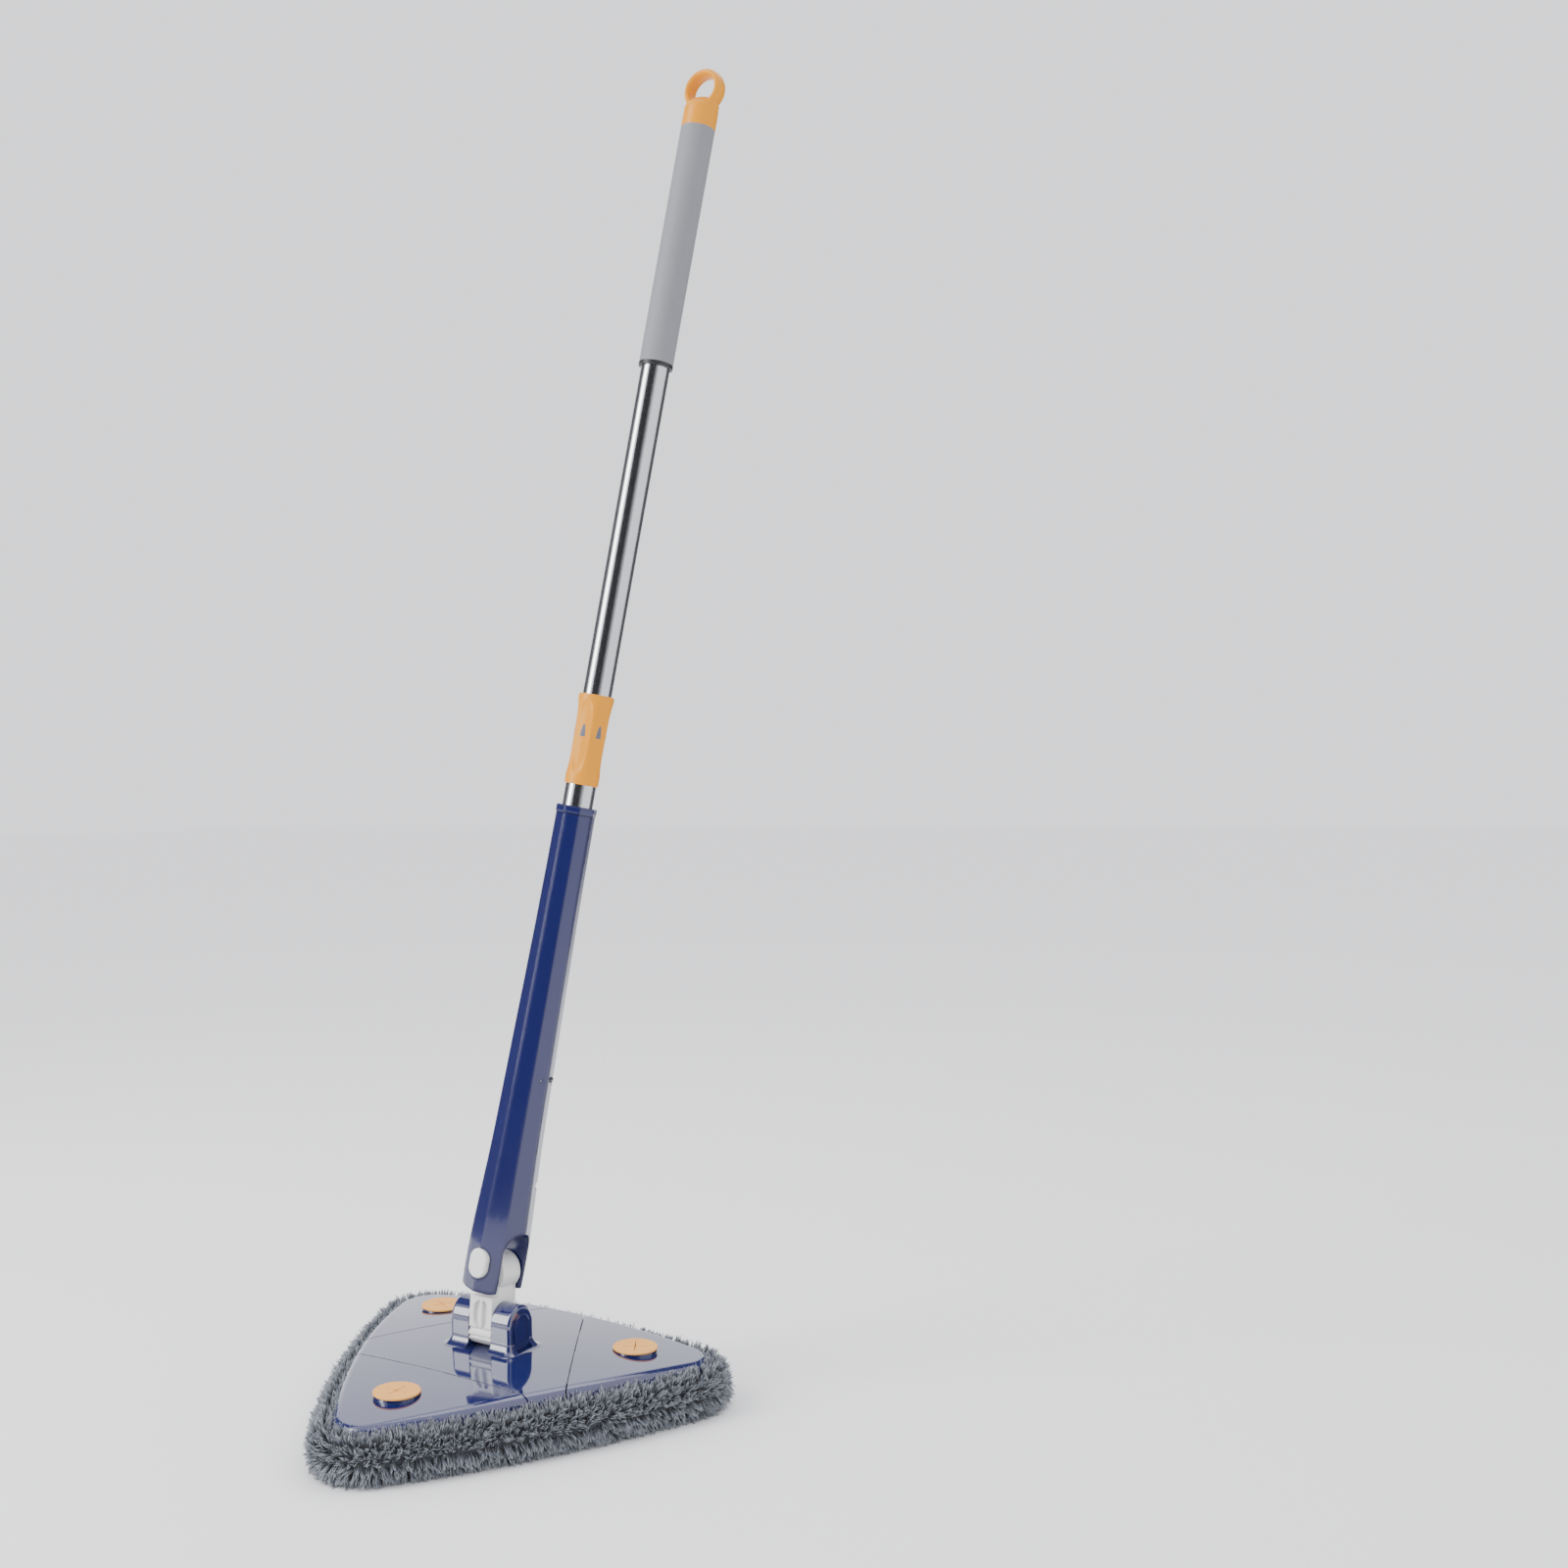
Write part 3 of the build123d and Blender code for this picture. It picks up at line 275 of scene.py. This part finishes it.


# The yarn: blue-grey microfibre, with painted shade that makes it dark between the tufts at their roots and
# pale at their tips; no two tufts quite alike
ROOT_PAINTED_SHADE, MIDDLE_PAINTED_SHADE, TIP_YARN_COLOUR = (0.075, 0.083, 0.100, 1), (0.165, 0.181, 0.214, 1), (0.36, 0.385, 0.43, 1)
pile_yarn = bpy.data.materials.new("pile_yarn")
pile_yarn.use_nodes = True
nodes, wires = pile_yarn.node_tree.nodes, pile_yarn.node_tree.links
yarn = nodes["Principled BSDF"]
yarn.inputs["Roughness"].default_value = 0.85
yarn.inputs["Sheen Weight"].default_value = 0.35
yarn.inputs["Sheen Roughness"].default_value = 0.4
along = value_node(nodes, "ShaderNodeAttribute", attribute_name="strand_height")
tone = value_node(nodes, "ShaderNodeAttribute", attribute_name="tuft_shade")
# painted shade: the ramp darkens each strand from its tip down to its root
ramp = nodes.new("ShaderNodeValToRGB")
ramp.color_ramp.elements[0].color = ROOT_PAINTED_SHADE
ramp.color_ramp.elements[1].color = TIP_YARN_COLOUR
ramp.color_ramp.elements.new(0.5).color = MIDDLE_PAINTED_SHADE
wires.new(along.outputs["Fac"], ramp.inputs["Fac"])
value = value_node(nodes, "ShaderNodeMapRange")
value.inputs["To Min"].default_value = 0.72
value.inputs["To Max"].default_value = 1.2
wires.new(tone.outputs["Fac"], value.inputs["Value"])
toned = nodes.new("ShaderNodeHueSaturation")
wires.new(ramp.outputs["Color"], toned.inputs["Color"])
wires.new(value.outputs["Result"], toned.inputs["Value"])
wires.new(toned.outputs["Color"], yarn.inputs["Base Color"])

# The four pieces: the backing cut along the bends, each part with the tufts that are rooted on it
pieces = {"pad_middle": None, **{f"pad_corner_{name}": name for name in CORNERS}}
home_angle = np.degrees(np.arctan2(home[:, 1], home[:, 0]))
off_corner = [np.abs((home_angle - angle + 180) % 360 - 180) for angle in CORNERS.values()]
nearest = np.stack(off_corner, axis=1).argmin(1)
reach = np.stack([home[:, :2] @ np.array(direction(angle))[:2] for angle in CORNERS.values()], axis=1).max(1)
for piece, name in pieces.items():
    body = bpy.data.objects.new(piece, backing.copy())
    bpy.context.collection.objects.link(body)
    for corner, angle in CORNERS.items():
        if name not in (None, corner):
            continue
        cuts = [(direction(angle) * BEND_START, direction(angle))]
        if name:
            cuts += [(Vector(), direction(angle - 30)), (Vector(), direction(angle + 30))]
        for spot, facing in cuts:
            bpy.ops.object.select_all(action="DESELECT")
            body.select_set(True)
            bpy.context.view_layer.objects.active = body
            bpy.ops.object.mode_set(mode="EDIT")
            bpy.ops.mesh.select_all(action="SELECT")
            bpy.ops.mesh.bisect(plane_co=spot, plane_no=facing, use_fill=True,
                                clear_inner=bool(name), clear_outer=not name)
            bpy.ops.object.mode_set(mode="OBJECT")
    if name:
        mine = (nearest == list(CORNERS).index(name)) & (reach > BEND_START)
    else:
        mine = reach <= BEND_START
    tufts = pile(piece + "_tufts", mine)
    bpy.ops.object.select_all(action="DESELECT")
    tufts.select_set(True)
    body.select_set(True)
    bpy.context.view_layer.objects.active = body
    bpy.ops.object.join()
    body.data.materials.clear()
    body.data.materials.append(pile_yarn)
    if name:
        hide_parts(f"pad_{name}")
        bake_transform(body)
    else:
        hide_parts("pad_centre")
        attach(body, "head")


# Plates, ears' caps, housing and top cap: navy ABS, moulded and polished, held by screws from inside.
# Edges are slightly rounded, and the gloss has the faint waves and the rubbed haze of a moulded face.
COAT_ROUGHNESS, COAT_IOR = 0.04, 1.8
MOTTLE_SCALE, RUB_SCALE, WAVE_SCALE = 38, 140, 24
WAVE_DEPTH, GRAIN_DEPTH = 0.0006, 0.00012


def finish(name, nodes_wanted, colour, roughness, haze=0.05, grain=0.0, grain_scale=900, round_edge=0.0,
           wave=0.0, metallic=0.0, tint=0.06, coat=0.0, shine=0.5):
    """A moulded or drawn surface: mottled colour, uneven gloss, a fine grain and rounded edges."""
    material = bpy.data.materials.new(name)
    material.use_nodes = True
    nodes, wires = material.node_tree.nodes, material.node_tree.links
    shader = nodes["Principled BSDF"]
    for socket, level in (("Metallic", metallic), ("Coat Weight", coat), ("Specular IOR Level", shine),
                          ("Coat Roughness", COAT_ROUGHNESS), ("Coat IOR", COAT_IOR)):
        shader.inputs[socket].default_value = level
    place = nodes.new("ShaderNodeTexCoord")
    mottle = value_node(nodes, "ShaderNodeTexNoise", Scale=MOTTLE_SCALE, Detail=4)
    wires.new(place.outputs["Object"], mottle.inputs["Vector"])
    colours = nodes.new("ShaderNodeMix")
    colours.data_type = "RGBA"
    colours.inputs["A"].default_value = (*(c * (1 - tint) for c in colour), 1)
    colours.inputs["B"].default_value = (*(min(1, c * (1 + tint)) for c in colour), 1)
    wires.new(mottle.outputs["Fac"], colours.inputs["Factor"])
    wires.new(colours.outputs["Result"], shader.inputs["Base Color"])
    rub = value_node(nodes, "ShaderNodeTexNoise", Scale=RUB_SCALE, Detail=6, Roughness=0.7)
    wires.new(place.outputs["Object"], rub.inputs["Vector"])
    gloss = nodes.new("ShaderNodeMapRange")
    for socket, level in (("From Min", 0.3), ("From Max", 0.75),
                          ("To Min", roughness), ("To Max", roughness + haze)):
        gloss.inputs[socket].default_value = level
    wires.new(rub.outputs["Fac"], gloss.inputs["Value"])
    wires.new(gloss.outputs["Result"], shader.inputs["Roughness"])
    last = None
    if round_edge:
        edge = nodes.new("ShaderNodeBevel")
        edge.samples = 6
        edge.inputs["Radius"].default_value = round_edge
        last = edge.outputs["Normal"]
    for strength, distance, scale in ((wave, WAVE_DEPTH, WAVE_SCALE), (grain, GRAIN_DEPTH, grain_scale)):
        if not strength:
            continue
        bump = nodes.new("ShaderNodeBump")
        bump.inputs["Strength"].default_value = strength
        bump.inputs["Distance"].default_value = distance
        pattern = value_node(nodes, "ShaderNodeTexNoise", Scale=scale, Detail=2)
        wires.new(place.outputs["Object"], pattern.inputs["Vector"])
        wires.new(pattern.outputs["Fac"], bump.inputs["Height"])
        if last:
            wires.new(last, bump.inputs["Normal"])
        last = bump.outputs["Normal"]
    if last:
        wires.new(last, shader.inputs["Normal"])
    for wanted in nodes_wanted:
        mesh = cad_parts[wanted].data
        mesh.materials.clear()
        mesh.materials.append(material)
    return material


def of_each_corner(piece):
    """The names of a piece's three copies, one at each corner."""
    return [f"{piece}_{name}" for name in CORNERS]


finish("navy_gloss", ["centre_plate", "ear_caps", *of_each_corner("flap")], (0.010, 0.014, 0.090), 0.07,
       haze=0.03, round_edge=0.0012, wave=0.05, coat=1.0)
finish("navy_housing", ["housing_front", "housing_back", "top_cap"], (0.009, 0.011, 0.078), 0.12,
       haze=0.05, round_edge=0.0040, wave=0.06, coat=0.3)

# Universal joint: the link between the ears and the fork, the bracket behind the button, and the
# button, moulded in off-white nylon with a fine satin grain.
finish("white_nylon", ["joint_link", "joint_bracket", "lock_button"], (0.80, 0.80, 0.78), 0.32, haze=0.08,
       grain=0.15, round_edge=0.0012, tint=0.02)

# Out of sight: closing plates, clip retainers, bearing, plug, collet and bush in dark nylon, and the
# hook tape under the plates that holds the pad.
finish("inner_nylon", ["centre_underplate", "tube_bearing", "tube_plug", "collet", "guide_bush",
                       *of_each_corner("underplate"), *of_each_corner("retainer")],
       (0.10, 0.11, 0.14), 0.5, grain=0.3)
finish("hook_tape", ["centre_hooks", *of_each_corner("hooks")], (0.03, 0.03, 0.04), 0.85,
       grain=1.0, grain_scale=1400)

# Steel pins, screws and the button's spring: zinc plated wire and bar. The spring stands between the
# bracket's well and the button.
finish("zinc", ["ear_pin", "upper_pin", "housing_screws", "centre_screws", "button_spring",
                *of_each_corner("screws"), *of_each_corner("hinge_pin")], (0.5, 0.5, 0.52), 0.3,
       haze=0.15, metallic=1.0)

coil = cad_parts["button_spring"].copy()
coil.data = coil.data.copy()
coil.name = "spring_coil"
for key in list(coil.keys()):
    del coil[key]
coil.parent = None
bpy.context.collection.objects.link(coil)
bpy.ops.object.select_all(action="DESELECT")
coil.select_set(True)
bpy.context.view_layer.objects.active = coil
bpy.ops.object.mode_set(mode="EDIT")
bpy.ops.mesh.select_all(action="SELECT")
bpy.ops.mesh.remove_doubles(threshold=1e-6)
bpy.ops.object.mode_set(mode="OBJECT")
bpy.ops.object.shade_smooth_by_angle(angle=math.radians(50))
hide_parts("button_spring")
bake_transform(coil)

# Cloth clips: three soft orange rubber discs, each pressed into its plate and held by a ring inside.
# A cross slit in the middle grips a tucked-in cloth.
finish("clip_rubber", of_each_corner("clip"), (0.86, 0.40, 0.085), 0.55, haze=0.1, grain=0.4, round_edge=0.0006,
       tint=0.03)

# Twist collar: a thick-walled sleeve moulded in satin orange-yellow ABS. Six long oval hollows round it
# give the fingers a hold, and it slips over the clamp at the top of the lower tube.
LEAN_BACK, LEAN_RIGHT = math.radians(6.3), math.radians(9.0)
EAR_PIN = Vector((0, 0, 0.0665))
UPPER_PIN = 0.038
link_up = Vector((0, math.sin(LEAN_BACK), math.cos(LEAN_BACK)))
pole_up = link_up * math.cos(LEAN_RIGHT) + Vector((math.sin(LEAN_RIGHT), 0, 0))
pole_right = Vector((math.cos(LEAN_RIGHT), 0, 0)) - link_up * math.sin(LEAN_RIGHT)
pole_back = pole_up.cross(pole_right)
pole_place = Matrix.Translation(EAR_PIN + (link_up - pole_up) * UPPER_PIN) @ Matrix(
    (pole_right, pole_back, pole_up)).transposed().to_4x4()
yellow_abs = finish("yellow_abs", [], (0.74, 0.28, 0.004), 0.30, haze=0.08, grain=0.12, tint=0.04, shine=0.3)


def turned(name, profile, steps, closed=True):
    """A solid of revolution about local z, from its section of radii and heights, in metres."""
    bpy.ops.object.select_all(action="DESELECT")
    mesh = bpy.data.meshes.new(name)
    count = len(profile)
    lines = [(i, (i + 1) % count) for i in range(count if closed else count - 1)]
    mesh.from_pydata([(radius, 0, height) for radius, height in profile], lines, [])
    piece = bpy.data.objects.new(name, mesh)
    bpy.context.collection.objects.link(piece)
    piece.select_set(True)
    bpy.context.view_layer.objects.active = piece
    bpy.ops.object.mode_set(mode="EDIT")
    bpy.ops.mesh.select_all(action="SELECT")
    bpy.ops.mesh.spin(steps=steps, angle=2 * math.pi, center=(0, 0, 0), axis=(0, 0, 1))
    bpy.ops.mesh.select_all(action="SELECT")
    bpy.ops.mesh.remove_doubles(threshold=1e-6)
    bpy.ops.mesh.normals_make_consistent(inside=False)
    bpy.ops.object.mode_set(mode="OBJECT")
    return piece


COLLAR_LOW, COLLAR_HIGH, COLLAR_BORE = 0.441, 0.515, 0.01280
COLLAR_RADII = (0.0140, 0.01475)
LIP_BORE, LIP_DEPTH = 0.0126, 0.006
HOLLOWS, HOLLOW_DEPTH, HOLLOW_HALF, HOLLOW_MIDDLE = 6, 0.0013, 0.031, 0.480
HOLLOW_START, HOLLOW_SHARE = 52, 0.93       # turn of the first ridge, and how much of a sixth is hollow
OUTER_SKIN = 0.0138                         # points nearer to the axis than this are in the bore


def collar_radius(height):
    """The sleeve's outside, which widens a little towards the top."""
    share = (height - COLLAR_LOW) / (COLLAR_HIGH - COLLAR_LOW)
    return COLLAR_RADII[0] + (COLLAR_RADII[1] - COLLAR_RADII[0]) * share


section = [(COLLAR_BORE, COLLAR_LOW), (collar_radius(COLLAR_LOW) - 0.0006, COLLAR_LOW)]
section += [(collar_radius(h), h) for h in np.linspace(COLLAR_LOW + 0.0006, COLLAR_HIGH - 0.0008, 70)]
section += [(COLLAR_RADII[1] - 0.0003, COLLAR_HIGH - 0.0002), (COLLAR_RADII[1] - 0.0008, COLLAR_HIGH),
            (LIP_BORE, COLLAR_HIGH), (LIP_BORE, COLLAR_HIGH - LIP_DEPTH),
            (COLLAR_BORE, COLLAR_HIGH - LIP_DEPTH - 0.0002)]
collar = turned("collar_sleeve", section, 180)
for vertex in collar.data.vertices:
    radius = math.hypot(vertex.co.x, vertex.co.y)
    along = (vertex.co.z - HOLLOW_MIDDLE) / HOLLOW_HALF
    if radius < OUTER_SKIN or abs(along) >= 1:
        continue
    turn = math.degrees(math.atan2(vertex.co.y, vertex.co.x)) + HOLLOW_START
    across = ((turn * HOLLOWS / 360) % 1 - 0.5) * 2 / (HOLLOW_SHARE * (1 - along**4) ** 0.5)
    if abs(across) < 1:
        inwards = HOLLOW_DEPTH * (1 - abs(across) ** 2.6) * min(1, 6 * (1 - abs(along)))
        vertex.co.x *= 1 - inwards / radius
        vertex.co.y *= 1 - inwards / radius
collar.data.transform(pole_place)
bpy.ops.object.shade_smooth_by_angle(angle=math.radians(40))
collar.data.materials.append(yellow_abs)
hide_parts("twist_collar")
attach(collar, "collar")

# Hanging cap: the same ABS, one moulding with a round neck on the grip and a thick rounded eye above it,
# pushed into the end of the tube.
NECK_RADIUS, NECK_LOW, NECK_SINK = 0.01425, 0.986, 0.002
EYE_HEIGHT, EYE_RADIUS, EYE_BAR, EYE_DEPTH = 1.017, 0.01415, 0.00315, 2.3
EYE_ROOT, EYE_ROOT_HEIGHT = (0.0156, 0.0100, 0.0085), 1.0030
VOXEL, RELAXING = 0.00055, 14
NECK_SECTION = [(0.0001, NECK_LOW - NECK_SINK), (NECK_RADIUS - 0.0002, NECK_LOW - NECK_SINK),
                (NECK_RADIUS, NECK_LOW), (NECK_RADIUS, 1.000), (0.0138, 1.0028), (0.0120, 1.0052),
                (0.0085, 1.0064), (0.0001, 1.0066)]
neck = turned("hanging_cap", NECK_SECTION, 96, closed=False)
bpy.ops.mesh.primitive_torus_add(
    major_segments=120, minor_segments=32, major_radius=EYE_RADIUS, minor_radius=EYE_BAR,
    location=(0, 0, EYE_HEIGHT), rotation=(math.pi / 2, 0, 0))
eye = bpy.context.object
bpy.ops.object.transform_apply(location=True, rotation=True)
eye.data.transform(Matrix.Diagonal((1, EYE_DEPTH, 1, 1)))
bpy.ops.mesh.primitive_uv_sphere_add(segments=48, ring_count=24, radius=1, location=(0, 0, EYE_ROOT_HEIGHT))
root_of_eye = bpy.context.object
root_of_eye.data.transform(Matrix.Diagonal((*EYE_ROOT, 1)))
bpy.ops.object.transform_apply(location=True)
for part in (eye, root_of_eye, neck):
    part.select_set(True)
bpy.context.view_layer.objects.active = neck
bpy.ops.object.join()
remesh = neck.modifiers.new("one_moulding", "REMESH")
remesh.mode = "VOXEL"
remesh.voxel_size = VOXEL
bpy.ops.object.modifier_apply(modifier=remesh.name)
relax = neck.modifiers.new("soft_fillets", "SMOOTH")
relax.factor, relax.iterations = 0.5, RELAXING
bpy.ops.object.modifier_apply(modifier=relax.name)
bpy.ops.object.shade_smooth()
neck.data.transform(pole_place)
neck.data.materials.clear()
neck.data.materials.append(yellow_abs)
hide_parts("hanger_cap")
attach(neck, "upper_pole")

# Grip: a long sleeve of grey matte rubber pushed over the upper tube. A thin black ring closes its
# lower end.
finish("grip_sleeve", ["grip_sleeve"], (0.215, 0.218, 0.235), 0.6, haze=0.1, grain=0.5, grain_scale=1300)
finish("grip_ring", ["grip_end_ring"], (0.02, 0.02, 0.022), 0.4, grain=0.2)

# Tubes: two thin-walled tubes of polished steel. The upper one slides in the lower one, which turns
# in the housing.
finish("steel", ["lower_tube", "upper_tube"], (0.66, 0.67, 0.69), 0.12, haze=0.06, metallic=1.0)
